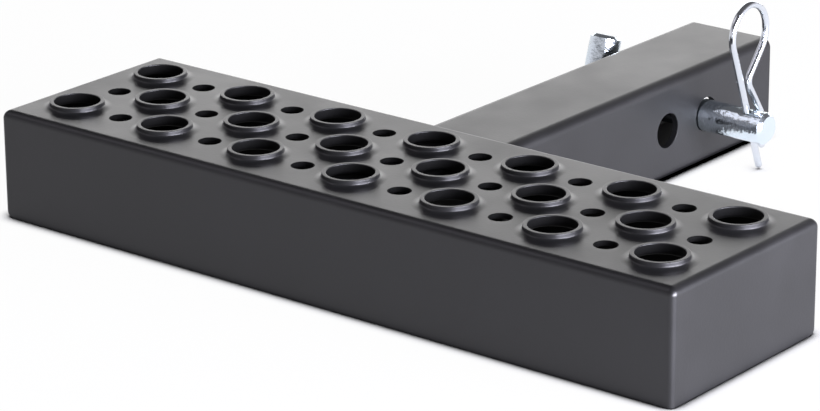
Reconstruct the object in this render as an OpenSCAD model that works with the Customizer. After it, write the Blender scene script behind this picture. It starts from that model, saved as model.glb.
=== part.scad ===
// Hitch step: a punched sheet-steel tread on a square receiver shank, held by a bent pin and a hairpin clip.
// The origin lies on the ground, under the middle opening of the tread. +Y runs along the shank towards
// the vehicle, +X is the side where the pin's clip sits, +Z is up.

/* [Step pan] */
// Length of the tread, across the vehicle
step_len = 386; // [300:2:460]
// Depth of the tread, along the shank
step_depth = 110; // [100:2:150]
// Thickness of the folded sheet
sheet_t = 2.5; // [1.6:0.1:3.2]
// Outer radius of the folds
fold_r = 4; // [3.6:0.1:6]
// Radius of the walls' lower corners
wall_corner_r = 4; // [2:0.5:8]
// Slit between a long wall's end and the end wall that covers it
seam_gap = 0.4; // [0.3:0.1:0.8]

/* [Tread openings] */
// Distance between columns of openings
column_pitch = 28; // [26:0.5:32]
// Distance between rows of openings
row_pitch = 29; // [26:0.5:32]
// Least flat strip between a lip's foot and the fold
edge_flat = 1; // [0.5:0.5:8]
// Inside diameter of the large openings
opening_d = 22; // [18:0.5:26]
// Height of a large opening's lip above the tread
lip_rise = 3; // [2.4:0.1:4]
// Thickness of a lip
lip_wall = 2; // [1.6:0.1:2.4]
// Radius of the fillet at a lip's foot
lip_foot_r = 2.4; // [1.2:0.1:2.4]
// Diameter of the small drain holes
drain_d = 9.5; // [6:0.5:12]

/* [Shank] */
// Outside width of the square tube
shank_w = 50.8; // [48:0.2:54]
// Wall of the square tube
shank_wall = 3.2; // [2.6:0.1:4.8]
// Outside corner radius of the square tube
shank_corner_r = 5; // [4.9:0.1:6.5]
// Reach of the tube past the step's back
shank_reach = 215; // [190:1:280]
// Gap between the tube's hidden end and the front wall
shank_front_gap = 2; // [1.8:0.1:4]
// Clearance round the tube where it leaves the back wall
notch_clear = 0.4; // [0.2:0.1:1]
// Diameter of the cross-holes
pin_hole_d = 17.5; // [17:0.1:19]
// Distance from the tube's open end to the cross-hole that holds the pin
pin_hole_back = 56; // [40:1:70]
// Distance between the two cross-holes
pin_hole_pitch = 33; // [28:1:50]
// Leg length of the weld beads
weld_leg = 4; // [3.5:0.1:5]

/* [Hitch pin] */
// Diameter of the pin
pin_d = 15.9; // [15.2:0.1:16.4]
// Gap between the pin and the bottom of its cross-hole
pin_seat_gap = 0.3; // [0.2:0.05:0.5]
// Reach of the pin past the tube on the clip's side
pin_reach = 36.6; // [30:0.2:50]
// Distance from the tube's side to the centre line of the bent arm
arm_standoff = 16.6; // [16.6:0.1:24]
// Centre-line radius of the pin's bend
pin_bend_r = 14; // [10:0.5:14]
// Length of the bent arm, from the pin's centre line to its tip
arm_len = 28; // [26:1:60]
// Lean of the bent arm about the pin, positive away from the step
arm_lean = 19; // [0:1:30]
// Chamfer at both ends of the pin
pin_chamfer = 1.6; // [0.8:0.1:2.4]

/* [Hairpin clip] */
// Diameter of the clip's wire
wire_d = 3.5; // [3:0.1:4]
// Clearance round the wire in the pin's cross-hole, on the radius
wire_clear = 0.3; // [0.2:0.05:0.5]
// Distance from the pin's free end to the clip
clip_back = 10.8; // [8:0.2:16]
// Lean of the clip about the pin, positive away from the step at its foot
clip_lean = 21; // [0:0.5:25]
// Centre-line radius of the finger loop
loop_r = 14.4; // [12:0.2:17]
// Distance from the pin's surface to the loop's centre
loop_height = 37.2; // [32:0.2:45]
// Length of the straight leg below the pin
leg_below = 16.2; // [10:0.2:16.4]
// Distance from the pin's surface to the clip's waist
waist_height = 12.2; // [11:0.2:16]
// Gap between the clip's two wires at the waist
waist_gap = 2.2; // [0.3:0.1:3]
// Centre-line radius of the bend at the waist
waist_r = 5.8; // [4:0.2:8]
// Gap between the pin and the bow that holds it
bow_gap = 0.4; // [0.3:0.1:1]
// Centre-line radius of the flared tail
tail_r = 6; // [4:0.5:8]
// How far down round the pin the bow reaches before the tail, in degrees
tail_start = 50; // [30:1:52]
// How far the tail turns outwards, in degrees
tail_turn = 85; // [50:1:110]

/* [Hidden] */
$fn = 64;

// The tube lies flat under the tread and ends level with the walls, so the two set the step's height.
step_h = shank_w + sheet_t;
half_len = step_len / 2;
half_depth = step_depth / 2;
fold_inner_r = fold_r - sheet_t;
long_wall_end = half_len - sheet_t - seam_gap;
// How far a cut runs on past the face that it opens.
cut_over = 1;

opening_r = opening_d / 2;
lip_outer_r = opening_r + lip_wall;
lip_edge_r = 0.45 * lip_wall;
entry_r = 0.8 * sheet_t;
// An arc is sunk by this share of its radius, so that it meets a flat face at an angle.
arc_sink = 0.04;
edge_margin = lip_outer_r + lip_foot_r + edge_flat + fold_r;
columns_each_side = floor((half_len - edge_margin) / column_pitch);
rows_each_side = floor((half_depth - edge_margin) / row_pitch);

shank_front = -half_depth + sheet_t + shank_front_gap;
shank_end = half_depth + shank_reach;
shank_axis_z = shank_w / 2;
pin_y = shank_end - pin_hole_back;
spare_hole_y = pin_y - pin_hole_pitch;

pin_r = pin_d / 2;
pin_z = shank_axis_z - (pin_hole_d - pin_d) / 2 + pin_seat_gap;
pin_tip_x = shank_w / 2 + pin_reach;
arm_x = -shank_w / 2 - arm_standoff;

wire_r = wire_d / 2;
clip_x = pin_tip_x - clip_back;
clip_hole_d = wire_d + 2 * wire_clear;
waist_x = wire_d + waist_gap;
bow_r = pin_r + bow_gap + wire_r;

tube_color = [0.10, 0.10, 0.11];
pan_color = [0.09, 0.09, 0.10];
weld_color = [0.12, 0.12, 0.13];
zinc_color = [0.78, 0.80, 0.82];
wire_color = [0.85, 0.86, 0.88];

// A rectangle standing on the X axis, centred on Y, with its two upper corners rounded.
module arch_outline(width, height, radius) {
    translate([-width / 2, 0])
        square([width, height - radius]);
    translate([radius - width / 2, 0])
        square([width - 2 * radius, height]);
    for (side = [-1, 1])
        translate([side * (width / 2 - radius), height - radius])
            circle(r = radius);
}

// The block common to a cross profile run along the length and one run along the depth,
// which gives mitred corners where two folds meet.
module folded_block(length, depth, height, radius, drop) {
    intersection() {
        translate([-length / 2, 0, -drop])
            rotate([90, 0, 90])
                linear_extrude(length)
                    arch_outline(depth, height + drop, radius);
        translate([0, depth / 2, -drop])
            rotate([90, 0, 0])
                linear_extrude(depth)
                    arch_outline(length, height + drop, radius);
    }
}

// What a rounded corner cuts away, with the corner's point at the origin, between +X and +Y.
module quarter_round_waste(radius) {
    difference() {
        translate([-cut_over, -cut_over])
            square(radius + cut_over);
        translate([radius, radius])
            circle(r = radius);
    }
}

module corner_waste(radius, thickness) {
    linear_extrude(thickness)
        quarter_round_waste(radius);
}

// Half section of a raised lip and its foot, with z = 0 on the tread's upper face.
module lip_section() {
    difference() {
        translate([0, -sheet_t / 2])
            square([lip_outer_r, lip_rise + sheet_t / 2]);
        translate([lip_outer_r, lip_rise])
            rotate(180)
                quarter_round_waste(lip_edge_r);
    }
    difference() {
        translate([lip_outer_r - lip_wall / 2, -sheet_t / 2])
            square([lip_wall / 2 + lip_foot_r, sheet_t / 2 + (1 - arc_sink) * lip_foot_r]);
        translate([lip_outer_r + lip_foot_r, (1 - arc_sink) * lip_foot_r])
            circle(r = lip_foot_r);
    }
}

// Half section of the hole through a lip: the rounded rim, the bore and the rounded entry below.
module opening_section() {
    translate([0, -sheet_t - cut_over])
        square([opening_r, sheet_t + lip_rise + 2 * cut_over]);
    translate([opening_r, lip_rise])
        mirror([0, 1])
            quarter_round_waste(lip_edge_r);
    difference() {
        translate([opening_r - cut_over, -sheet_t - cut_over])
            square([entry_r + cut_over, entry_r * (1 - arc_sink) + cut_over]);
        translate([opening_r + entry_r, -sheet_t + entry_r * (1 - arc_sink)])
            circle(r = entry_r);
    }
}

// Places its children over every column and row whose sum is even (large) or odd (small).
module chequer(parity) {
    for (column = [-columns_each_side : columns_each_side], row = [-rows_each_side : rows_each_side])
        if (abs(column + columns_each_side + row + rows_each_side) % 2 == parity)
            translate([column * column_pitch, row * row_pitch, step_h])
                children();
}

// Cuts in the walls: corner seams, rounded lower corners and the notch that the tube leaves by.
module wall_cuts() {
    wall_reach = sheet_t + 2 * cut_over;
    for (x_side = [0, 1], y_side = [0, 1])
        mirror([x_side, 0, 0])
            mirror([0, y_side, 0]) {
                translate([long_wall_end, half_depth - wall_reach, -cut_over])
                    cube([seam_gap, wall_reach + cut_over, step_h - fold_r + cut_over]);
                translate([long_wall_end, half_depth + cut_over, 0])
                    rotate([90, 0, 0])
                        mirror([1, 0, 0])
                            corner_waste(wall_corner_r, wall_reach);
                translate([half_len - sheet_t - seam_gap / 2, half_depth, 0])
                    rotate([90, 0, 90])
                        mirror([1, 0, 0])
                            corner_waste(wall_corner_r, wall_reach);
            }
    translate([-shank_w / 2 - notch_clear, half_depth - fold_r, -cut_over])
        cube([shank_w + 2 * notch_clear, fold_r + cut_over, shank_w + cut_over]);
}

// The tread and its four walls, punched and folded from one sheet.
module step_pan() {
    color(pan_color)
        difference() {
            union() {
                difference() {
                    folded_block(step_len, step_depth, step_h, fold_r, 0);
                    folded_block(step_len - 2 * sheet_t, step_depth - 2 * sheet_t, step_h - sheet_t,
                        fold_inner_r, cut_over);
                }
                chequer(0)
                    rotate_extrude()
                        lip_section();
            }
            chequer(0)
                rotate_extrude()
                    opening_section();
            chequer(1)
                translate([0, 0, -sheet_t - cut_over])
                    cylinder(d = drain_d, h = sheet_t + 2 * cut_over);
            wall_cuts();
        }
}

module rounded_square(width, radius) {
    square([width, width - 2 * radius], center = true);
    square([width - 2 * radius, width], center = true);
    for (x_side = [-1, 1], y_side = [-1, 1])
        translate([x_side * (width / 2 - radius), y_side * (width / 2 - radius)])
            circle(r = radius);
}

// The square receiver tube, open at the far end, with two cross-holes.
module shank_tube() {
    bore_w = shank_w - 2 * shank_wall;
    color(tube_color)
        translate([0, 0, shank_axis_z])
            difference() {
                translate([0, shank_end, 0])
                    rotate([90, 0, 0])
                        linear_extrude(shank_end - shank_front)
                            difference() {
                                rounded_square(shank_w, shank_corner_r);
                                rounded_square(bore_w, shank_corner_r - shank_wall);
                            }
                for (y = [pin_y, spare_hole_y])
                    translate([-shank_w / 2 - cut_over, y, 0])
                        rotate([0, 90, 0])
                            cylinder(d = pin_hole_d, h = shank_w + 2 * cut_over);
            }
}

// One convex fillet bead standing in the corner between +X and +Y.
module weld_bead(leg, length) {
    linear_extrude(length)
        intersection() {
            square(leg);
            circle(r = leg);
        }
}

// Beads between the tube's sides and the back wall, outside and in, and at the tube's hidden end.
module shank_welds() {
    bead_start = shank_corner_r + 1;
    bead_len = shank_w - 2 * bead_start;
    color(weld_color)
        for (side = [0, 1])
            mirror([side, 0, 0])
                translate([shank_w / 2, 0, bead_start]) {
                    translate([0, half_depth, 0])
                        weld_bead(weld_leg, bead_len);
                    translate([0, half_depth - sheet_t, 0])
                        mirror([0, 1, 0])
                            weld_bead(weld_leg, bead_len);
                    translate([0, -half_depth + sheet_t, 0])
                        weld_bead(weld_leg + shank_front_gap, bead_len);
                }
}

// A round bar along +Z with a chamfer at its far end.
module chamfered_bar(radius, length, chamfer) {
    rotate_extrude()
        polygon([
            [0, 0], [radius, 0], [radius, length - chamfer],
            [radius - chamfer, length], [0, length]
        ]);
}

// The pin: a straight bar through the tube, a bend, an upright arm and a cross-hole for the clip.
module hitch_pin() {
    bend_x = arm_x + pin_bend_r;
    color(zinc_color)
        translate([0, pin_y, pin_z])
            difference() {
                rotate([-arm_lean, 0, 0]) {
                    translate([bend_x, 0, 0])
                        rotate([0, 90, 0])
                            chamfered_bar(pin_r, pin_tip_x - bend_x, pin_chamfer);
                    translate([bend_x, 0, pin_bend_r])
                        rotate([90, 0, 0])
                            rotate_extrude(angle = 90, start = 180)
                                translate([pin_bend_r, 0])
                                    circle(r = pin_r);
                    translate([arm_x, 0, pin_bend_r])
                        chamfered_bar(pin_r, arm_len - pin_bend_r, pin_chamfer);
                }
                translate([clip_x, 0, 0])
                    rotate([clip_lean, 0, 0])
                        translate([0, 0, -pin_r - cut_over])
                            cylinder(d = clip_hole_d, h = pin_d + 2 * cut_over);
            }
}

// The clip's path lies in one plane, with x across and y along the straight leg, and the pin's centre
// at the origin. Each bend is [centre, radius, turn], where turn is 1 to the left and -1 to the right.
leg_top = pin_r + loop_height;
leg_foot = -pin_r - leg_below;
loop_bend = [[loop_r, leg_top], loop_r, -1];
waist_bend = [[waist_x + waist_r, pin_r + waist_height], waist_r, 1];
bow_bend = [[0, 0], bow_r, -1];

// What the ends of a line that joins two bends without a corner differ by, across it and in all.
function side_step(a, b) = a[2] * a[1] - b[2] * b[1];
function centre_step(a, b) = b[0] - a[0];

// Heading of that line in degrees, and its length.
function link_heading(a, b) =
    let (gap = centre_step(a, b))
    atan2(gap[1], gap[0]) + asin(side_step(a, b) / norm(gap));
function link_length(a, b) =
    let (gap = centre_step(a, b))
    sqrt(gap * gap - side_step(a, b) ^ 2);

// Degrees that a bend turns between two headings, from 0 to 360.
function sweep_between(turn, from, to) = ((turn * (to - from)) % 360 + 360) % 360;

to_waist = link_heading(loop_bend, waist_bend);
to_bow = link_heading(waist_bend, bow_bend);
off_bow = -90 - tail_start;
// The wire in order: each entry is [straight run, radius of the bend after it, turn, degrees turned].
wire_steps = [
    [leg_top - leg_foot, loop_r, -1, sweep_between(-1, 90, to_waist)],
    [link_length(loop_bend, waist_bend), waist_r, 1, sweep_between(1, to_waist, to_bow)],
    [link_length(waist_bend, bow_bend), bow_r, -1, sweep_between(-1, to_bow, off_bow)],
    [0, tail_r, 1, tail_turn]
];
// The two halves of a bend share this many degrees, and one is thinner by this much, so that
// neither lies in the other's surface.
bend_lap = 2;
lap_step = 0.01;

// The wire's radius on the run before bend i and up to the middle of that bend.
function run_r(i) = wire_r - (i % 2) * lap_step;

// Half of a left bend that starts at the origin along +X, drawn about the bend's own centre.
module half_bend(radius, sweep, thickness_r) {
    rotate_extrude(angle = sweep / 2 + bend_lap, start = -90)
        translate([radius, 0])
            circle(r = thickness_r);
}

// The wire from one straight run on: each run starts where the last bend left off, along +X.
module wire_from(i) {
    run = wire_steps[i][0];
    radius = wire_steps[i][1];
    turn = wire_steps[i][2];
    sweep = wire_steps[i][3];
    flip = turn > 0 ? 0 : 1;
    if (run > 0)
        rotate([0, 90, 0])
            cylinder(r = run_r(i), h = run);
    translate([run, turn * radius, 0]) {
        mirror([0, flip, 0])
            half_bend(radius, sweep, run_r(i));
        rotate(turn * sweep) {
            mirror([0, flip, 0])
                mirror([1, 0, 0])
                    half_bend(radius, sweep, run_r(i + 1));
            translate([0, -turn * radius, 0])
                if (i < len(wire_steps) - 1)
                    wire_from(i + 1);
                else
                    sphere(r = run_r(i + 1));
        }
    }
}

// The hairpin clip: straight leg, finger loop, waist, bow over the pin and flared tail.
module pin_clip() {
    color(wire_color)
        translate([clip_x, pin_y, pin_z])
            rotate([clip_lean, 0, 0])
                translate([0, 0, leg_foot])
                    rotate([90, 0, 90])
                        rotate(90) {
                            sphere(r = wire_r);
                            wire_from(0);
                        }
}

step_pan();
shank_tube();
shank_welds();
hitch_pin();
pin_clip();
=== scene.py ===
import bmesh
import bpy
import math
from mathutils import Euler, Matrix, Vector


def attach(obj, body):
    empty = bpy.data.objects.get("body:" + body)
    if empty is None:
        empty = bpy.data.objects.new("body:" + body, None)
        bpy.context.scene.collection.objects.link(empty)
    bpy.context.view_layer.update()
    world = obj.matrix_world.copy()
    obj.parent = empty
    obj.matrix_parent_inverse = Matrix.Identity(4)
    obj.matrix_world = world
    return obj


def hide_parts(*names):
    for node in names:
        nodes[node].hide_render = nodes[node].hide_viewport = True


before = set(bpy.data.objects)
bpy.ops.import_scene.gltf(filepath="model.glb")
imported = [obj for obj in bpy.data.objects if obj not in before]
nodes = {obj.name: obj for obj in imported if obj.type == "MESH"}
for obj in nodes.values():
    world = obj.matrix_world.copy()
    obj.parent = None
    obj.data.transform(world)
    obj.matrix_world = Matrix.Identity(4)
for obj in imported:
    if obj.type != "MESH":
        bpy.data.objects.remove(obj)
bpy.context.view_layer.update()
millimetre = 0.001


# Helpers for node trees

def addNode(tree, kind, column, row, values=None, **settings):
    node = tree.nodes.new(kind)
    node.location = (column * 210, -row * 170)
    for key, value in settings.items():
        setattr(node, key, value)
    for key, value in (values or {}).items():
        node.inputs[key].default_value = value
    return node


def calculate(tree, operation, column, row, *terms):
    # one step of arithmetic; each term is a number or another node's output
    node = addNode(tree, "ShaderNodeMath", column, row, operation=operation)
    for slot, term in enumerate(terms):
        if isinstance(term, (int, float)):
            node.inputs[slot].default_value = term
        else:
            tree.links.new(term, node.inputs[slot])
    return node.outputs[0]


def shaderTree(name):
    material = bpy.data.materials.new(name)
    material.use_nodes = True
    tree = material.node_tree
    tree.nodes.clear()
    return material, tree


def growTree(name, inputs):
    # inputs: {name: (socket type, default)}; the tree gives one geometry
    tree = bpy.data.node_groups.new(name, "GeometryNodeTree")
    for label, (kind, start) in inputs.items():
        socket = tree.interface.new_socket(name=label, in_out="INPUT", socket_type="NodeSocket" + kind)
        if start is not None:
            socket.default_value = start
    tree.interface.new_socket(name="Geometry", in_out="OUTPUT", socket_type="NodeSocketGeometry")
    return tree, addNode(tree, "NodeGroupInput", 0, 0), addNode(tree, "NodeGroupOutput", 12, 0)


def growPiece(name, tree, values, creaseAngle):
    # runs the tree once and keeps what it makes as a plain mesh; edges over creaseAngle stay sharp
    piece = bpy.data.objects.new(name, bpy.data.meshes.new(name))
    bpy.context.scene.collection.objects.link(piece)
    modifier = piece.modifiers.new("grow", "NODES")
    modifier.node_group = tree
    sockets = {item.name: item.identifier for item in tree.interface.items_tree if item.in_out == "INPUT"}
    for label, value in values.items():
        modifier[sockets[label]] = value
    scene = bpy.context.evaluated_depsgraph_get()
    mesh = bpy.data.meshes.new_from_object(piece.evaluated_get(scene), depsgraph=scene)
    piece.modifiers.clear()
    piece.data = mesh
    mesh.name = name
    softShade(piece, creaseAngle)
    return piece


# Helpers for meshes and paths. Lengths are millimetres until a piece is made ready for its body

shading = {
    "mergeReach": 2e-4,       # points this near to each other become one
    "sliverReach": 1e-5,
    "squareCosine": 0.99999,  # from here on a face counts as square to the frame
    "flatPull": 1000,         # and weighs this much more in its corners' normals
}


def softShade(piece, creaseAngle):
    # faces square to the frame outweigh their rounded neighbours, so flats stay flat up to their folds
    build = bmesh.new()
    build.from_mesh(piece.data)
    bmesh.ops.remove_doubles(build, verts=build.verts, dist=shading["mergeReach"])
    bmesh.ops.dissolve_degenerate(build, edges=build.edges, dist=shading["sliverReach"])
    bmesh.ops.recalc_face_normals(build, faces=build.faces)
    build.normal_update()
    smoothest = math.cos(math.radians(creaseAngle))
    pull = {}
    for face in build.faces:
        square = max(map(abs, face.normal)) > shading["squareCosine"]
        pull[face] = face.calc_area() * (shading["flatPull"] if square else 1)
    normals = [sum((near.normal * pull[near] for near in corner.vert.link_faces
                    if near.normal.dot(face.normal) > smoothest), Vector()).normalized()
               for face in build.faces for corner in face.loops]
    build.to_mesh(piece.data)
    build.free()
    piece.data.shade_smooth()
    piece.data.normals_split_custom_set(normals)


def meshObject(name, points, faces):
    mesh = bpy.data.meshes.new(name)
    mesh.from_pydata([tuple(point) for point in points], [], faces)
    piece = bpy.data.objects.new(name, mesh)
    bpy.context.scene.collection.objects.link(piece)
    return piece


def pathObject(name, points, closed):
    curve = bpy.data.curves.new(name, "CURVE")
    curve.dimensions = "3D"
    spline = curve.splines.new("POLY")
    spline.points.add(len(points) - 1)
    for point, place in zip(spline.points, points):
        point.co = (*place, 1)
    spline.use_cyclic_u = closed
    path = bpy.data.objects.new(name, curve)
    bpy.context.scene.collection.objects.link(path)
    return path


def arc(centre, radius, start, end, steps):
    # points from start to end, in degrees, both included
    angles = [math.radians(start + (end - start) * step / steps) for step in range(steps + 1)]
    return [(centre[0] + radius * math.cos(a), centre[1] + radius * math.sin(a)) for a in angles]


def ringFaces(rings, count):
    # joins each closed ring of count points to the next one
    faces = []
    for start in range(0, (rings - 1) * count, count):
        for here in range(count):
            ahead = (here + 1) % count
            faces.append((start + here, start + ahead, start + count + ahead, start + count + here))
    return faces


def turnedForm(name, profile, segments):
    # an open skin of revolution about Z through (radius, height) points
    points = [(r * math.cos(2 * math.pi * k / segments), r * math.sin(2 * math.pi * k / segments), z)
              for r, z in profile for k in range(segments)]
    return meshObject(name, points, ringFaces(len(profile), segments))


def discard(*helpers):
    for helper in helpers:
        bpy.data.objects.remove(helper)


# Camera and room

camera = {
    "place": (0.967579, -1.182252, 0.575851),
    "turn": (70.40678, 0.36615, 38.86351),   # degrees
    "lens": 157.234,
    "sensor": 36.0,
    "sight": (0.01, 50.0),    # nearest and farthest that it sees
}

room = {
    "floorSize": 8.0,
    "floorDrop": 0.0001,      # the floor lies this far under the step's lower edges
    "floorGrey": 0.86,
    "cameraWhite": 0.97,      # how much of the floor is plain white to the camera
    "glossWhite": 0.5,        # and in reflections
    "contactReach": 0.0075,   # the white gives way to shadow this near to the object
    "contactOpen": (0.5, 0.97),   # share of open sky at a wall's foot and on free floor
    "lowAir": 0.85,           # the room is bright near the horizon
    "highAir": 0.12,          # and dim above
    "airTurn": (0.08, 0.5),   # sines of the elevations between which it dims
    "airColour": (0.96, 0.93, 1.0),
}

# Each panel: place, the point it faces, width, height, watts, colour
panels = {
    "rearPanel": ((-0.9, 1.9, 0.55), (0.0, 0.1, 0.05), 2.6, 0.9, 16.5, (1.0, 1.0, 0.985)),
    "rightPanel": ((1.6, -0.1, 0.32), (0.15, 0.0, 0.03), 1.8, 0.6, 162, (0.86, 0.86, 1.0)),
    "leftHighPanel": ((-1.3, -0.9, 1.7), (0.0, 0.0, 0.0), 1.2, 1.2, 4.6, (0.93, 0.89, 1.0)),
}


def makeCamera():
    lens = bpy.data.cameras.new("photoCamera")
    lens.lens = camera["lens"]
    lens.sensor_fit = "HORIZONTAL"
    lens.sensor_width = camera["sensor"]
    lens.clip_start, lens.clip_end = camera["sight"]
    eye = bpy.data.objects.new("photoCamera", lens)
    eye.location = camera["place"]
    eye.rotation_euler = Euler([math.radians(angle) for angle in camera["turn"]], "XYZ")
    bpy.context.scene.collection.objects.link(eye)
    bpy.context.scene.camera = eye


def makeFloor():
    material, tree = shaderTree("paleFloor")
    out = addNode(tree, "ShaderNodeOutputMaterial", 4, 0)
    mix = addNode(tree, "ShaderNodeMixShader", 3, 0)
    matt = addNode(tree, "ShaderNodeBsdfDiffuse", 2, 1)
    glow = addNode(tree, "ShaderNodeEmission", 2, 2, {"Color": (1, 1, 1, 1), "Strength": 1.0})
    path = addNode(tree, "ShaderNodeLightPath", 0, 0)
    near = addNode(tree, "ShaderNodeAmbientOcclusion", 0, 3, {"Distance": room["contactReach"]}, samples=8)
    clear = addNode(tree, "ShaderNodeMapRange", 1, 3, {
        "From Min": room["contactOpen"][0], "From Max": room["contactOpen"][1]})
    link = tree.links.new
    mirrored = calculate(tree, "MAXIMUM", 1, 1,
                         path.outputs["Is Glossy Ray"], path.outputs["Is Transmission Ray"])
    dimmed = calculate(tree, "MULTIPLY", 1, 2, mirrored, room["glossWhite"])
    white = calculate(tree, "MULTIPLY_ADD", 2, 0, path.outputs["Is Camera Ray"], room["cameraWhite"], dimmed)
    # near the object the white gives way to the lit grey with its real shadow, and the occlusion also darkens
    # that grey: a painted contact shadow
    link(near.outputs["AO"], clear.inputs["Value"])
    link(calculate(tree, "MULTIPLY", 2, 3, clear.outputs["Result"], room["floorGrey"]), matt.inputs["Color"])
    link(calculate(tree, "MULTIPLY", 3, 2, white, clear.outputs["Result"]), mix.inputs["Fac"])
    link(matt.outputs[0], mix.inputs[1])
    link(glow.outputs[0], mix.inputs[2])
    link(mix.outputs[0], out.inputs["Surface"])
    half, level = room["floorSize"] / 2, -room["floorDrop"]
    corners = [(-half, -half, level), (half, -half, level), (half, half, level), (-half, half, level)]
    floor = meshObject("studioFloor", corners, [(0, 1, 2, 3)])
    floor.data.materials.append(material)


def makeAir():
    world = bpy.data.worlds.new("studioAir")
    world.use_nodes = True
    bpy.context.scene.world = world
    tree = world.node_tree
    tree.nodes.clear()
    out = addNode(tree, "ShaderNodeOutputWorld", 4, 0)
    mix = addNode(tree, "ShaderNodeMixShader", 3, 0)
    air = addNode(tree, "ShaderNodeBackground", 3, 1, {"Color": (*room["airColour"], 1)})
    plain = addNode(tree, "ShaderNodeBackground", 3, 2, {"Color": (1, 1, 1, 1), "Strength": 1.0})
    path = addNode(tree, "ShaderNodeLightPath", 0, 0)
    look = addNode(tree, "ShaderNodeTexCoord", 0, 1)
    height = addNode(tree, "ShaderNodeSeparateXYZ", 1, 1)
    level = addNode(tree, "ShaderNodeMapRange", 2, 1, {
        "From Min": room["airTurn"][0], "From Max": room["airTurn"][1],
        "To Min": room["lowAir"], "To Max": room["highAir"]})
    link = tree.links.new
    link(look.outputs["Generated"], height.inputs[0])
    link(height.outputs["Z"], level.inputs["Value"])
    link(level.outputs["Result"], air.inputs["Strength"])
    link(path.outputs["Is Camera Ray"], mix.inputs["Fac"])
    link(air.outputs[0], mix.inputs[1])
    link(plain.outputs[0], mix.inputs[2])
    link(mix.outputs[0], out.inputs["Surface"])


def makePanels():
    for name, (place, target, width, height, watts, colour) in panels.items():
        light = bpy.data.lights.new(name, "AREA")
        light.shape = "RECTANGLE"
        light.size, light.size_y, light.energy, light.color = width, height, watts, colour
        panel = bpy.data.objects.new(name, light)
        panel.location = place
        panel.rotation_euler = (Vector(target) - Vector(place)).to_track_quat("-Z", "Y").to_euler()
        panel.visible_camera = False
        bpy.context.scene.collection.objects.link(panel)


# Finishes

coat = {
    "colour": (0.0055, 0.0055, 0.0058),
    "gloss": 0.5,
    "roughness": 0.38,
    "roughnessSpread": 0.035,
    "shadeRange": (0.85, 1.15),   # the colour drifts between these shares of itself
    "shadeStops": (0.35, 0.68),   # at these values of the noise
    "cloudScale": 28.0,       # slow drift of shade and gloss, per metre
    "peelScale": 950.0,       # the powder's own grain, per metre
    "peelHeight": 0.00006,
    "peelStrength": 0.5,
    "edgeRound": 0.00035,     # the coat softens every edge by this radius
}

# under the tread and in its openings the coat is darker and less glossy, a painted shade in these recesses,
# and rougher
paintedShadeCoat = {**coat, "colour": (0.004, 0.004, 0.004), "gloss": 0.05, "roughness": 0.7}

cloudMiddle = (0.3, 0.7)      # nearly all of a noise lies between these values


def coatedSteel(name, settings):
    material, tree = shaderTree(name)
    out = addNode(tree, "ShaderNodeOutputMaterial", 6, 0)
    shader = addNode(tree, "ShaderNodeBsdfPrincipled", 5, 0, {
        "Metallic": 0.0, "IOR": 1.5, "Specular IOR Level": settings["gloss"]})
    where = addNode(tree, "ShaderNodeTexCoord", 0, 0)
    cloud = addNode(tree, "ShaderNodeTexNoise", 1, 0, {"Scale": settings["cloudScale"], "Detail": 4.0})
    shade = addNode(tree, "ShaderNodeValToRGB", 2, 0)
    stops = zip(shade.color_ramp.elements, settings["shadeStops"], settings["shadeRange"])
    for stop, value, strength in stops:
        stop.position = value
        stop.color = (*[strength * channel for channel in settings["colour"]], 1)
    gloss = addNode(tree, "ShaderNodeMapRange", 2, 1, {
        "From Min": cloudMiddle[0], "From Max": cloudMiddle[1],
        "To Min": settings["roughness"] - settings["roughnessSpread"],
        "To Max": settings["roughness"] + settings["roughnessSpread"]})
    peel = addNode(tree, "ShaderNodeTexNoise", 1, 2, {"Scale": settings["peelScale"], "Detail": 2.0})
    edge = addNode(tree, "ShaderNodeBevel", 2, 3, {"Radius": settings["edgeRound"]}, samples=4)
    bump = addNode(tree, "ShaderNodeBump", 3, 2, {
        "Strength": settings["peelStrength"], "Distance": settings["peelHeight"]})
    link = tree.links.new
    link(where.outputs["Object"], cloud.inputs["Vector"])
    link(where.outputs["Object"], peel.inputs["Vector"])
    link(cloud.outputs["Fac"], shade.inputs["Fac"])
    link(cloud.outputs["Fac"], gloss.inputs["Value"])
    link(shade.outputs["Color"], shader.inputs["Base Color"])
    link(gloss.outputs["Result"], shader.inputs["Roughness"])
    link(peel.outputs["Fac"], bump.inputs["Height"])
    link(edge.outputs["Normal"], bump.inputs["Normal"])
    link(bump.outputs["Normal"], shader.inputs["Normal"])
    link(shader.outputs["BSDF"], out.inputs["Surface"])
    return material


zinc = {
    "colour": (0.84, 0.90, 0.93),
    "metal": 1.0,
    "roughness": 0.18,
    "cloudScale": 70.0,
    "dentScale": 300.0,
    "dentHeight": 0.0011,
    "dentStrength": 0.4,
}

wireFinish = {
    "colour": (0.78, 0.79, 0.81),
    "metal": 1.0,
    "roughness": 0.14,
    "cloudScale": 90.0,
    "dentScale": 600.0,
    "dentHeight": 0.00003,
    "dentStrength": 0.4,
}

# bluish and warm patches, as shares of the colour, and the range of roughness, as shares of its own
platingTints = ((0.88, 0.95, 1.0), (1.0, 1.0, 0.98))
platingGloss = (0.8, 1.3)


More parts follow.
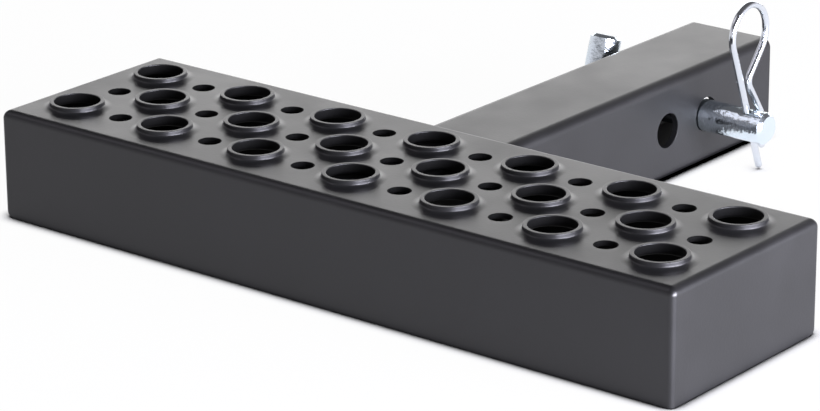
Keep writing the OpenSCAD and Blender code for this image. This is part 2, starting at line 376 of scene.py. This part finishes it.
def platedSteel(name, settings):
    material, tree = shaderTree(name)
    out = addNode(tree, "ShaderNodeOutputMaterial", 6, 0)
    shader = addNode(tree, "ShaderNodeBsdfPrincipled", 5, 0, {"Metallic": settings["metal"]})
    where = addNode(tree, "ShaderNodeTexCoord", 0, 0)
    cloud = addNode(tree, "ShaderNodeTexNoise", 1, 0, {"Scale": settings["cloudScale"], "Detail": 3.0})
    shade = addNode(tree, "ShaderNodeValToRGB", 2, 0)
    for stop, tint in zip(shade.color_ramp.elements, platingTints):
        stop.color = (*[share * channel for share, channel in zip(tint, settings["colour"])], 1)
    gloss = addNode(tree, "ShaderNodeMapRange", 2, 1, {
        "From Min": cloudMiddle[0], "From Max": cloudMiddle[1],
        "To Min": settings["roughness"] * platingGloss[0],
        "To Max": settings["roughness"] * platingGloss[1]})
    dent = addNode(tree, "ShaderNodeTexNoise", 1, 2, {"Scale": settings["dentScale"], "Detail": 2.0})
    bump = addNode(tree, "ShaderNodeBump", 3, 2, {
        "Strength": settings["dentStrength"], "Distance": settings["dentHeight"]})
    link = tree.links.new
    link(where.outputs["Object"], cloud.inputs["Vector"])
    link(where.outputs["Object"], dent.inputs["Vector"])
    link(cloud.outputs["Fac"], shade.inputs["Fac"])
    link(cloud.outputs["Fac"], gloss.inputs["Value"])
    link(shade.outputs["Color"], shader.inputs["Base Color"])
    link(gloss.outputs["Result"], shader.inputs["Roughness"])
    link(dent.outputs["Fac"], bump.inputs["Height"])
    link(bump.outputs["Normal"], shader.inputs["Normal"])
    link(shader.outputs["BSDF"], out.inputs["Surface"])
    return material


def dress(node, material):
    for slot in nodes[node].material_slots:
        slot.material = material


# The punched tread: its skin is folded in mesh code, its openings are grown by nodes. Millimetres

tread = {
    "length": 386.0, "depth": 110.0, "height": 53.3,
    "sheet": 2.5, "foldRadius": 4.0, "foldSteps": 8,
    "cornerRadius": 2.8,      # where two walls meet, their seam is welded and ground round
    "innerCornerShare": 0.3,  # the corner's inner face has this share of that radius
    "cornerSteps": 6,
    "trimSteps": (1.2, 2.4, 3.4),     # points this far along the walls from a corner
    "wallTrim": 6.0, "nearTrim": 1.2,     # how far the walls' lower corners are rounded off
    "wallEdge": 0.35,
    "edgeAngles": (0, 30, 60, 90),    # where the rounding of a wall's lower edge has its points
    "notchHalf": 25.8, "notchHeight": 50.8,
    "columns": 13, "rows": 3, "columnPitch": 28.0, "rowPitch": 29.0,
    "openingRadius": 11.0, "lipRise": 3.0, "lipWall": 2.0,
    "flareWidth": 4.0, "flareHeight": 1.35,
    "rimOuterEdge": 0.3, "rimInnerEdge": 0.35, "entryRadius": 2.0,
    "drainRadius": 4.9, "drainEdge": 0.6, "drainUnderEdge": 0.3,
    "flareSteps": 12, "rimSteps": (3, 4), "entrySteps": 5, "drainSteps": (4, 3),
    "segments": 64,
    "creaseAngle": 38,
}


def lipProfile():
    # from the flat up its flare, over the rim and a little way down the bore
    inner, rise = tread["openingRadius"], tread["lipRise"]
    wide, high = tread["flareWidth"], tread["flareHeight"]
    outer = inner + tread["lipWall"]
    rimOut, rimIn = tread["rimOuterEdge"], tread["rimInnerEdge"]
    profile = [(outer + wide * (1 + across), high * (1 + up))
               for across, up in arc((0, 0), 1, -90, -180, tread["flareSteps"])]
    profile += arc((outer - rimOut, rise - rimOut), rimOut, 0, 90, tread["rimSteps"][0])
    profile += arc((inner + rimIn, rise - rimIn), rimIn, 90, 180, tread["rimSteps"][1])
    return profile


def boreProfile():
    inner, entry = tread["openingRadius"], tread["entryRadius"]
    profile = [(inner, tread["lipRise"] - tread["rimInnerEdge"])]
    profile += arc((inner + entry, entry - tread["sheet"]), entry, 180, 270, tread["entrySteps"])
    return profile


def drainProfile():
    radius, edge, under = tread["drainRadius"], tread["drainEdge"], tread["drainUnderEdge"]
    profile = arc((radius + edge, -edge), edge, 90, 180, tread["drainSteps"][0])
    profile += arc((radius + under, under - tread["sheet"]), under, 180, 270, tread["drainSteps"][1])
    return profile


def roundPlan(reach, corner):
    # one turn round the pan, reach outside the flat; each point also says whether it lies in the notch
    halfX = tread["length"] / 2 - tread["foldRadius"]
    halfY = tread["depth"] / 2 - tread["foldRadius"]
    notch, steps = tread["notchHalf"], tread["cornerSteps"]
    plan = []
    for signX, signY, start in ((-1, -1, 180), (1, -1, 270), (1, 1, 0), (-1, 1, 90)):
        centre = (signX * (halfX + reach - corner), signY * (halfY + reach - corner))
        bend = arc(centre, corner, start, start + 90, steps)
        sine, cosine = math.sin(math.radians(start)), math.cos(math.radians(start))
        first, last = bend[0], bend[-1]
        before = [(first[0] + sine * away, first[1] - cosine * away) for away in reversed(tread["trimSteps"])]
        after = [(last[0] - cosine * away, last[1] - sine * away) for away in tread["trimSteps"]]
        plan += [(x, y, False) for x, y in before + bend + after]
        if (signX, signY) == (1, 1):
            y = halfY + reach
            plan += [(notch, y, False), (notch, y, True), (-notch, y, True), (-notch, y, False)]
    return plan


def trimmedFoot(x, y):
    # how high the walls' lower edge lies: nought, but raised at the corners
    trim = tread["nearTrim"] if x > 0 and y < 0 else tread["wallTrim"]
    inX, inY = tread["length"] / 2 - abs(x), tread["depth"] / 2 - abs(y)
    away = max(inX, inY)
    if min(inX, inY) > 2 * tread["sheet"] or away > trim:
        return 0.0
    return trim - math.sqrt(trim ** 2 - (trim - away) ** 2)


def foldedSkin():
    # the folds and the walls under them, as an outer face with the lower edge, and an inner face
    radius, sheet, top = tread["foldRadius"], tread["sheet"], tread["height"]
    base, low, edge, steps = top - radius, tread["notchHeight"], tread["wallEdge"], tread["foldSteps"]
    flat = tread["depth"] / 2 - radius
    # over the notch the sheet ends on the fold's outer curve, this far behind the flat
    ledge = math.sqrt(radius ** 2 - (low - base) ** 2)
    rings = []

    def fold(size, order):
        for step in order:
            turn = math.pi / 2 * step / steps
            out, z = size * math.sin(turn), base + size * math.cos(turn)
            corner = tread["cornerRadius"] * math.sin(turn) * size / radius
            rings.append([(x, flat + min(out, ledge), low) if notched and z < low else (x, y, z)
                          for x, y, notched in roundPlan(out, corner)])

    def wall(reach, corner, inward, angles):
        for angle in angles:
            inset = edge * (1 - math.cos(math.radians(angle)))
            lift = edge * (1 - math.sin(math.radians(angle)))
            plan = roundPlan(reach + inward * inset, corner + inward * inset)
            rings.append([(x, flat + min(y - flat, ledge), low) if notched
                          else (x, y, trimmedFoot(x, y) + lift) for x, y, notched in plan])

    fold(radius, range(steps + 1))
    wall(radius, tread["cornerRadius"], -1, tread["edgeAngles"])
    inner = tread["cornerRadius"] * tread["innerCornerShare"]
    wall(radius - sheet, inner, 1, reversed(tread["edgeAngles"]))
    fold(radius - sheet, range(steps, -1, -1))
    # the outer skin takes the rounded lower edge with it, up to the first ring of the inner face
    split = steps + 1 + len(tread["edgeAngles"])
    parts = (("outerSkin", rings[:split + 1]), ("innerSkin", rings[split:]))
    return [meshObject(name, [point for ring in part for point in ring], ringFaces(len(part), len(part[0])))
            for name, part in parts]


def treadTree():
    tree, given, out = growTree("punchedTread", {
        "Columns": ("Int", 13), "Rows": ("Int", 3), "Column Pitch": ("Float", 28), "Row Pitch": ("Float", 29),
        "Top Height": ("Float", 53), "Sheet": ("Float", 2.5), "Foot Circle": ("Float", 15),
        "Entry Circle": ("Float", 13), "Drain Circle": ("Float", 5), "Drain Under Circle": ("Float", 5),
        "Segments": ("Int", 64), "Lip Form": ("Object", None), "Bore Form": ("Object", None),
        "Drain Form": ("Object", None), "Outline": ("Object", None), "Outer Skin": ("Object", None),
        "Inner Skin": ("Object", None), "Coat": ("Material", None), "Painted Shade Coat": ("Material", None)})
    link = tree.links.new

    # a grid of spots, one for each opening and drain
    grid = addNode(tree, "GeometryNodeMeshGrid", 2, 0)
    for axis, count, pitch in (("X", "Columns", "Column Pitch"), ("Y", "Rows", "Row Pitch")):
        gaps = calculate(tree, "SUBTRACT", 1, 1, given.outputs[count], 1.0)
        link(calculate(tree, "MULTIPLY", 1, 2, gaps, given.outputs[pitch]), grid.inputs["Size " + axis])
        link(given.outputs[count], grid.inputs["Vertices " + axis])
    spots = addNode(tree, "GeometryNodeMeshToPoints", 3, 0)
    link(grid.outputs["Mesh"], spots.inputs["Mesh"])

    # column plus row is odd at a large opening and even at a drain
    place = addNode(tree, "GeometryNodeInputPosition", 2, 3)
    parts = addNode(tree, "ShaderNodeSeparateXYZ", 3, 3)
    link(place.outputs[0], parts.inputs[0])
    across = calculate(tree, "DIVIDE", 4, 3, parts.outputs["X"], given.outputs["Column Pitch"])
    along = calculate(tree, "DIVIDE", 4, 4, parts.outputs["Y"], given.outputs["Row Pitch"])
    column = calculate(tree, "ROUND", 5, 3, across)
    row = calculate(tree, "ROUND", 5, 4, along)
    odd = calculate(tree, "FLOORED_MODULO", 6, 4, calculate(tree, "ADD", 6, 3, column, row), 2.0)
    large = calculate(tree, "GREATER_THAN", 7, 3, odd, 0.5)
    small = calculate(tree, "LESS_THAN", 7, 4, odd, 0.5)

    def scatter(shape, chosen, row):
        node = addNode(tree, "GeometryNodeInstanceOnPoints", 8, row)
        link(spots.outputs["Points"], node.inputs["Points"])
        link(chosen, node.inputs["Selection"])
        link(shape, node.inputs["Instance"])
        return node.outputs["Instances"]

    def shapeOf(label, row):
        node = addNode(tree, "GeometryNodeObjectInfo", 1, row)
        link(given.outputs[label], node.inputs["Object"])
        return node.outputs["Geometry"]

    def circle(label, row):
        node = addNode(tree, "GeometryNodeCurvePrimitiveCircle", 6, row)
        link(given.outputs["Segments"], node.inputs["Resolution"])
        link(given.outputs[label], node.inputs["Radius"])
        return node.outputs["Curve"]

    def move(geometry, height, row):
        rise = addNode(tree, "ShaderNodeCombineXYZ", 9, row + 0.5)
        link(height, rise.inputs["Z"])
        node = addNode(tree, "GeometryNodeTransform", 10, row)
        link(geometry, node.inputs["Geometry"])
        link(rise.outputs[0], node.inputs["Translation"])
        return node.outputs["Geometry"]

    def join(column, row, *shapes):
        node = addNode(tree, "GeometryNodeJoinGeometry", column, row)
        for shape in shapes:
            link(shape, node.inputs[0])
        return node.outputs[0]

    def plate(largeCircle, smallCircle, row):
        # the flat between the folds, with a hole for every opening
        rings = join(9, row, shapeOf("Outline", row), scatter(circle(largeCircle, row), large, row),
                     scatter(circle(smallCircle, row + 1), small, row + 1))
        solid = addNode(tree, "GeometryNodeRealizeInstances", 9, row + 1)
        link(rings, solid.inputs[0])
        fill = addNode(tree, "GeometryNodeFillCurve", 9, row + 2)
        link(solid.outputs[0], fill.inputs["Curve"])
        return fill.outputs["Mesh"]

    top = given.outputs["Top Height"]
    under = calculate(tree, "SUBTRACT", 2, 8, top, given.outputs["Sheet"])
    seen = join(10, 4, move(scatter(shapeOf("Lip Form", 6), large, 6), top, 6),
                move(plate("Foot Circle", "Drain Circle", 9), top, 9), shapeOf("Outer Skin", 15))
    shaded = join(10, 5, move(scatter(shapeOf("Bore Form", 7), large, 7), top, 7),
                  move(scatter(shapeOf("Drain Form", 8), small, 8), top, 8),
                  move(plate("Entry Circle", "Drain Under Circle", 12), under, 12), shapeOf("Inner Skin", 16))

    # bores, drains and the underside are marked, and later painted with the darker inner coat, a painted
    # shade in these recesses
    solid = addNode(tree, "GeometryNodeRealizeInstances", 10, 1)
    marked = addNode(tree, "GeometryNodeStoreNamedAttribute", 10, 2, {"Name": "hiddenSide", "Value": True},
                     data_type="BOOLEAN", domain="FACE")
    hidden = addNode(tree, "GeometryNodeInputNamedAttribute", 10, 3, {"Name": "hiddenSide"},
                     data_type="BOOLEAN")
    realized = addNode(tree, "GeometryNodeRealizeInstances", 11, 0)
    painted = addNode(tree, "GeometryNodeSetMaterial", 11, 1)
    darkened = addNode(tree, "GeometryNodeSetMaterial", 11, 2)
    link(shaded, solid.inputs[0])
    link(solid.outputs[0], marked.inputs["Geometry"])
    link(join(10, 0, seen, marked.outputs["Geometry"]), realized.inputs[0])
    link(realized.outputs[0], painted.inputs["Geometry"])
    link(given.outputs["Coat"], painted.inputs["Material"])
    link(painted.outputs["Geometry"], darkened.inputs["Geometry"])
    link(hidden.outputs["Attribute"], darkened.inputs["Selection"])
    link(given.outputs["Painted Shade Coat"], darkened.inputs["Material"])
    link(darkened.outputs["Geometry"], out.inputs[0])
    return tree


def makeTread(finish, paintedShadeFinish):
    lip = turnedForm("lipForm", lipProfile(), tread["segments"])
    bore = turnedForm("boreForm", boreProfile(), tread["segments"])
    drain = turnedForm("drainForm", drainProfile(), tread["segments"])
    outerSkin, innerSkin = foldedSkin()
    outline = pathObject("flatOutline", [(x, y, 0) for x, y, notched in roundPlan(0, 0)], True)
    piece = growPiece("punchedTread", treadTree(), {
        "Columns": tread["columns"], "Rows": tread["rows"],
        "Column Pitch": tread["columnPitch"], "Row Pitch": tread["rowPitch"],
        "Top Height": tread["height"], "Sheet": tread["sheet"],
        "Foot Circle": tread["openingRadius"] + tread["lipWall"] + tread["flareWidth"],
        "Entry Circle": tread["openingRadius"] + tread["entryRadius"],
        "Drain Circle": tread["drainRadius"] + tread["drainEdge"],
        "Drain Under Circle": tread["drainRadius"] + tread["drainUnderEdge"],
        "Segments": tread["segments"], "Lip Form": lip, "Bore Form": bore, "Drain Form": drain,
        "Outline": outline, "Outer Skin": outerSkin, "Inner Skin": innerSkin,
        "Coat": finish, "Painted Shade Coat": paintedShadeFinish}, tread["creaseAngle"])
    discard(lip, bore, drain, outerSkin, innerSkin, outline)
    return piece


# The hairpin clip: one wire bent along a path. Millimetres and degrees, as in the part's source

clip = {
    "place": (51.2, 214.0, 24.9),     # on the pin's axis, where the clip crosses it
    "lean": 21.0,
    "wireRadius": 1.75, "pinRadius": 7.95,
    "loopRadius": 14.4, "loopHeight": 37.2, "legBelow": 16.2,
    "waistHeight": 12.2, "waistGap": 2.2, "waistRadius": 5.8,
    "bowGap": 0.4, "tailRadius": 6.0, "tailStart": 50.0, "tailTurn": 85.0,
    "bendStep": 3.0,          # degrees of bend between two points
    "tipAngles": (15, 30, 45, 60, 75, 90),    # where the round tips have their points
    "roundness": 32,
    "creaseAngle": 60,
}


def clipPath():
    wire, pin = clip["wireRadius"], clip["pinRadius"]
    legTop, legFoot = pin + clip["loopHeight"], -pin - clip["legBelow"]
    waistX = 2 * wire + clip["waistGap"]
    bends = [((clip["loopRadius"], legTop), clip["loopRadius"], -1),
             ((waistX + clip["waistRadius"], pin + clip["waistHeight"]), clip["waistRadius"], 1),
             ((0, 0), pin + clip["bowGap"] + wire, -1)]

    def between(a, b):
        # heading and length of the straight wire that joins two bends
        across, along = b[0][0] - a[0][0], b[0][1] - a[0][1]
        gap, step = math.hypot(across, along), a[2] * a[1] - b[2] * b[1]
        heading = math.degrees(math.atan2(along, across) + math.asin(step / gap))
        return heading, math.sqrt(gap ** 2 - step ** 2)

    toWaist, toBow = between(bends[0], bends[1]), between(bends[1], bends[2])
    headings = [90, toWaist[0], toBow[0], -90 - clip["tailStart"]]
    runs = [legTop - legFoot, toWaist[1], toBow[1], 0]
    moves = [(runs[i], bends[i][1], bends[i][2], (bends[i][2] * (headings[i + 1] - headings[i])) % 360)
             for i in range(3)] + [(0, clip["tailRadius"], 1, clip["tailTurn"])]
    x, y, heading = 0.0, legFoot, 90.0
    points = [(x, y)]
    for run, radius, turn, sweep in moves:
        x += run * math.cos(math.radians(heading))
        y += run * math.sin(math.radians(heading))
        side = heading + turn * 90
        centre = (x + radius * math.cos(math.radians(side)), y + radius * math.sin(math.radians(side)))
        steps = max(3, round(sweep / clip["bendStep"]))
        bend = arc(centre, radius, side + 180, side + 180 + turn * sweep, steps)
        points += bend[0 if run else 1:]
        x, y = points[-1]
        heading += turn * sweep
    # both ends are drawn on by the wire's radius, where the tree rounds them off
    tips = [wire * math.sin(math.radians(angle)) for angle in clip["tipAngles"]]
    across, up = math.cos(math.radians(heading)), math.sin(math.radians(heading))
    foot = [(0, legFoot - tip) for tip in reversed(tips)]
    tail = [(x + tip * across, y + tip * up) for tip in tips]
    tilt = Matrix.Translation(clip["place"]) @ Matrix.Rotation(math.radians(clip["lean"]), 4, "X")
    return [tilt @ Vector((0, *point)) for point in foot + points + tail]


def wireTree():
    tree, given, out = growTree("bentWire", {
        "Path": ("Object", None), "Wire Radius": ("Float", 1.75), "Roundness": ("Int", 32),
        "Plating": ("Material", None)})
    link = tree.links.new
    path = addNode(tree, "GeometryNodeObjectInfo", 1, 0)
    ring = addNode(tree, "GeometryNodeCurvePrimitiveCircle", 1, 1)
    skin = addNode(tree, "GeometryNodeCurveToMesh", 3, 0, {"Fill Caps": True})
    realized = addNode(tree, "GeometryNodeRealizeInstances", 5, 0)
    painted = addNode(tree, "GeometryNodeSetMaterial", 6, 0)

    # within a radius of either end the wire narrows as a ball does
    along = addNode(tree, "GeometryNodeSplineParameter", 0, 3).outputs["Length"]
    whole = addNode(tree, "GeometryNodeCurveLength", 0, 4)
    link(path.outputs["Geometry"], whole.inputs["Curve"])
    ahead = calculate(tree, "SUBTRACT", 1, 3, whole.outputs["Length"], along)
    nearest = calculate(tree, "MINIMUM", 2, 3, along, ahead)
    inward = calculate(tree, "DIVIDE", 3, 3, nearest, given.outputs["Wire Radius"])
    short = calculate(tree, "SUBTRACT", 5, 3, 1.0, calculate(tree, "MINIMUM", 4, 3, inward, 1.0))
    squared = calculate(tree, "POWER", 6, 3, short, 2.0)
    width = calculate(tree, "SQRT", 8, 3, calculate(tree, "SUBTRACT", 7, 3, 1.0, squared))
    link(width, skin.inputs["Scale"])

    link(given.outputs["Path"], path.inputs["Object"])
    link(given.outputs["Roundness"], ring.inputs["Resolution"])
    link(given.outputs["Wire Radius"], ring.inputs["Radius"])
    link(path.outputs["Geometry"], skin.inputs["Curve"])
    link(ring.outputs["Curve"], skin.inputs["Profile Curve"])
    link(skin.outputs["Mesh"], realized.inputs[0])
    link(realized.outputs[0], painted.inputs["Geometry"])
    link(given.outputs["Plating"], painted.inputs["Material"])
    link(painted.outputs["Geometry"], out.inputs[0])
    return tree


def makeClip(material):
    path = pathObject("clipPath", clipPath(), False)
    piece = growPiece("hairpinWire", wireTree(), {
        "Path": path, "Wire Radius": clip["wireRadius"], "Roundness": clip["roundness"],
        "Plating": material}, clip["creaseAngle"])
    discard(path)
    return piece


# Weld beads: a rippled quarter bead, laid into the six corners between tube and pan. Millimetres

weld = {
    "leg": 4.0, "frontLeg": 6.0, "bottom": 6.0, "length": 38.8,
    "ripple": 1.6,            # the length of one
    "ripplePoints": 8.0,      # along each
    "rippleDepth": 0.09,      # as a share of the leg
    "arcSteps": 8,
    "tubeHalf": 25.4,
    "backOutside": 55.0, "backInside": 52.5, "frontInside": -52.5,    # the walls' faces, along Y
    "creaseAngle": 60,
}


def beadTree():
    tree, given, out = growTree("rippledBead", {
        "Profile": ("Object", None), "Length": ("Float", 38), "Leg": ("Float", 4), "Ripple": ("Float", 1.6),
        "Ripple Points": ("Float", 8), "Ripple Depth": ("Float", 0.1), "Coat": ("Material", None)})
    link = tree.links.new
    tip = addNode(tree, "ShaderNodeCombineXYZ", 1, 0)
    line = addNode(tree, "GeometryNodeCurvePrimitiveLine", 2, 0)
    path = addNode(tree, "GeometryNodeResampleCurve", 3, 0)
    shape = addNode(tree, "GeometryNodeObjectInfo", 4, 1)
    skin = addNode(tree, "GeometryNodeCurveToMesh", 9, 0, {"Fill Caps": True})
    realized = addNode(tree, "GeometryNodeRealizeInstances", 10, 0)
    painted = addNode(tree, "GeometryNodeSetMaterial", 11, 0)
    ripples = calculate(tree, "DIVIDE", 1, 1, given.outputs["Length"], given.outputs["Ripple"])
    link(calculate(tree, "MULTIPLY", 2, 1, ripples, given.outputs["Ripple Points"]), path.inputs["Count"])

    # a ripple is one hump of a sine; between two humps the bead is thinner by the depth
    along = addNode(tree, "GeometryNodeSplineParameter", 1, 3).outputs["Length"]
    phase = calculate(tree, "DIVIDE", 2, 3, along, given.outputs["Ripple"])
    wave = calculate(tree, "SINE", 4, 3, calculate(tree, "MULTIPLY", 3, 3, phase, math.pi))
    hump = calculate(tree, "ABSOLUTE", 5, 3, wave)
    swell = calculate(tree, "MULTIPLY", 6, 3, hump, given.outputs["Ripple Depth"])
    least = calculate(tree, "SUBTRACT", 6, 4, 1.0, given.outputs["Ripple Depth"])
    share = calculate(tree, "ADD", 7, 3, swell, least)
    link(calculate(tree, "MULTIPLY", 8, 3, share, given.outputs["Leg"]), skin.inputs["Scale"])

    link(given.outputs["Length"], tip.inputs["X"])
    link(tip.outputs[0], line.inputs["End"])
    link(line.outputs["Curve"], path.inputs["Curve"])
    link(path.outputs["Curve"], skin.inputs["Curve"])
    link(given.outputs["Profile"], shape.inputs["Object"])
    link(shape.outputs["Geometry"], skin.inputs["Profile Curve"])
    link(skin.outputs["Mesh"], realized.inputs[0])
    link(realized.outputs[0], painted.inputs["Geometry"])
    link(given.outputs["Coat"], painted.inputs["Material"])
    link(painted.outputs["Geometry"], out.inputs[0])
    return tree


def makeWelds(material):
    quarter = [(0, 0)] + arc((0, 0), 1, 0, 90, weld["arcSteps"])
    profile = pathObject("beadProfile", [(x, y, 0) for x, y in quarter], True)
    tree = beadTree()
    beads = {leg: growPiece("bead", tree, {
        "Profile": profile, "Length": weld["length"], "Leg": leg, "Ripple": weld["ripple"],
        "Ripple Points": weld["ripplePoints"], "Ripple Depth": weld["rippleDepth"], "Coat": material},
        weld["creaseAngle"]) for leg in (weld["leg"], weld["frontLeg"])}
    build = bmesh.new()
    for side in (-1, 1):
        for leg, y, away in ((weld["leg"], weld["backOutside"], 1), (weld["leg"], weld["backInside"], -1),
                             (weld["frontLeg"], weld["frontInside"], 1)):
            part = beads[leg].data.copy()
            # the bead lies along X with its corner on the axis: it is stood up and its corner turned in
            spread = [tuple(vertex.co) for vertex in part.vertices]
            flipA, flipB = [1 if max(p[axis] for p in spread) > -min(p[axis] for p in spread) else -1
                            for axis in (1, 2)]
            for vertex, (x, a, b) in zip(part.vertices, spread):
                vertex.co = (side * (weld["tubeHalf"] + flipA * a), y + away * flipB * b, weld["bottom"] + x)
            build.from_mesh(part)
    mesh = bpy.data.meshes.new("weldBeads")
    build.to_mesh(mesh)
    build.free()
    mesh.materials.append(material)
    piece = bpy.data.objects.new("weldBeads", mesh)
    bpy.context.scene.collection.objects.link(piece)
    softShade(piece, weld["creaseAngle"])
    discard(profile, *beads.values())
    return piece


def stand(piece, body, node):
    # gives a piece its final scale and its place in the frame
    piece.data.transform(Matrix.Scale(millimetre, 4))
    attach(piece, body)
    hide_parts(node)
    print(piece.name, len(piece.data.polygons), "faces, in place of", node)


bpy.context.scene.view_settings.view_transform = "Standard"
makeCamera()
makeFloor()
makeAir()
makePanels()
print("camera, floor and panels are set")

blackCoat = coatedSteel("blackPowderCoat", coat)
# the inner coat darkens the bores, drains and underside: painted shade
paintedShadeMaterial = coatedSteel("paintedShadePowderCoat", paintedShadeCoat)
brightZinc = platedSteel("brightZinc", zinc)
springWire = platedSteel("springWire", wireFinish)
dress("shank_tube", blackCoat)
dress("hitch_pin", brightZinc)
print("finishes are on the tube and the pin")

stand(makeTread(blackCoat, paintedShadeMaterial), "step", "step_pan")
stand(makeWelds(blackCoat), "step", "shank_welds")
stand(makeClip(springWire), "clip", "pin_clip")
